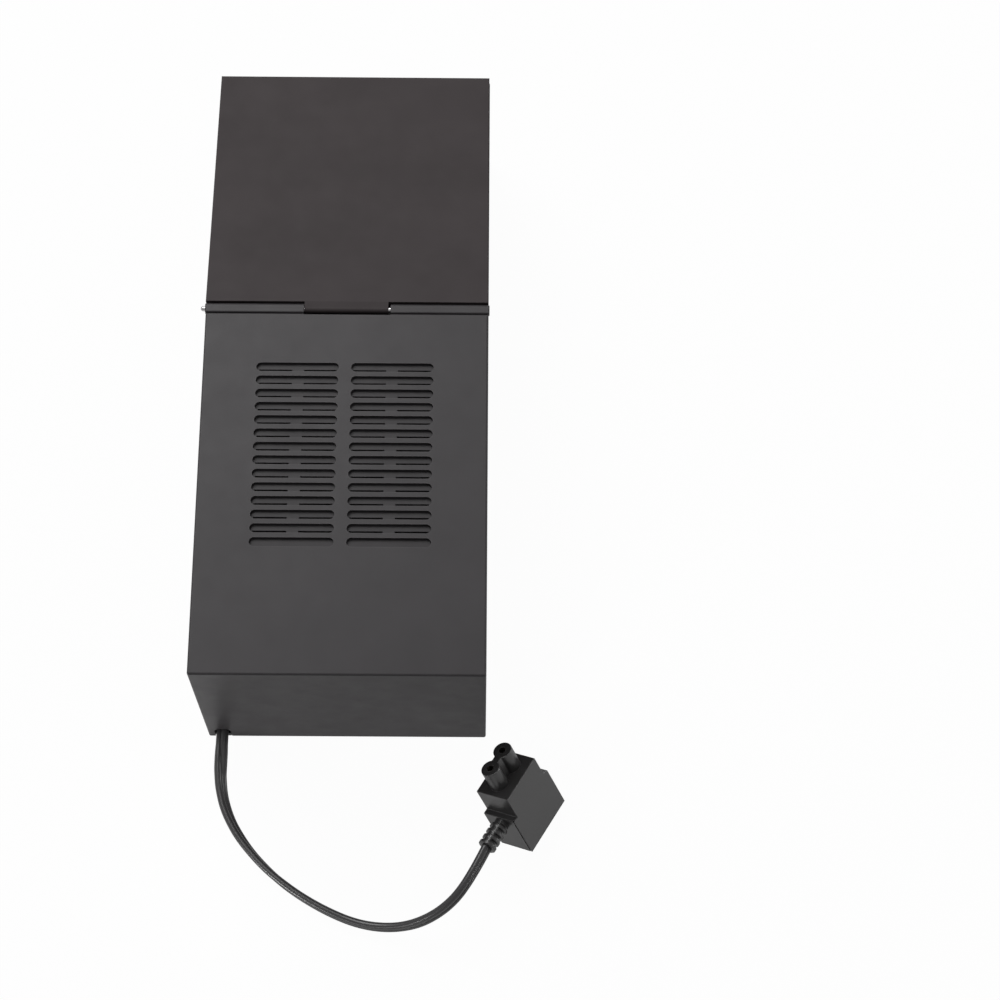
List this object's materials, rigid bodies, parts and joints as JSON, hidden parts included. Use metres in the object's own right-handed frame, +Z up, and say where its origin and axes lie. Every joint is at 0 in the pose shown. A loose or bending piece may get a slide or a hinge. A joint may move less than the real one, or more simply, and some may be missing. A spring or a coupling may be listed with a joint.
{
  "type": "external hard drive enclosure",
  "caption": "Long black plastic drive enclosure with a vented roof, a hinged sloping lid over its front compartment, and a short mains lead with a pass-through plug block.",
  "frame": {"origin": "middle of the enclosure's footprint, on the table that its feet stand on", "axes": "+X to the right seen from the cable end, +Y from the cable end towards the lid, +Z up"},
  "size_m": [0.1392, 0.3315, 0.08],
  "materials": {
    "case_plastic": "satin black moulded ABS",
    "pin_steel": "bright drawn steel",
    "screw_steel": "zinc-plated steel",
    "foot_rubber": "matt rubber",
    "tray_steel": "zinc-plated sheet",
    "board_green": "green solder mask",
    "connector_black": "moulded black plastic",
    "chip_black": "matt epoxy",
    "port_steel": "plated shell",
    "winding_tape": "yellow tape over ferrite",
    "capacitor_sleeve": "dark shrink sleeve",
    "choke_copper": "enamelled copper",
    "fuse_glass": "clear glass",
    "sink_aluminium": "plain extrusion",
    "lead_sleeve": "PVC sleeve",
    "cord_pvc": "smooth black PVC",
    "plug_plastic": "satin black moulding",
    "contact_brass": "plated brass"
  },
  "bodies": {
    "case": {"top_housing": "case_plastic", "hinge_pin": "pin_steel", "base_cover": "case_plastic", "base_screws": "screw_steel", "feet": "foot_rubber", "drive_tray": "tray_steel", "tray_screws": "screw_steel", "bridge_board": "board_green", "sata_socket": "connector_black", "bridge_chip": "chip_black", "host_port": "port_steel", "power_board": "board_green", "power_header": "connector_black", "transformer": "winding_tape", "bulk_capacitor": "capacitor_sleeve", "choke": "choke_copper", "fuse": "fuse_glass", "heat_sink": "sink_aluminium", "output_capacitors": "capacitor_sleeve", "board_screws": "screw_steel", "cord_clamp": "case_plastic", "mains_leads": "lead_sleeve", "mains_terminal": "connector_black", "clamp_screw": "screw_steel", "power_cord": "cord_pvc", "plug_body": "plug_plastic", "plug_contacts": "contact_brass", "inlet_pins": "contact_brass", "plug_relief": "plug_plastic"},
    "lid": {"lid": "case_plastic"}
  },
  "joints": [
    {"name": "lid_hinge", "type": "hinge", "parent": "case", "child": "lid", "pos_m": [0, 0.01838, 0.078], "axis": [1, 0, 0], "range_deg": [0, 100]}
  ]
}
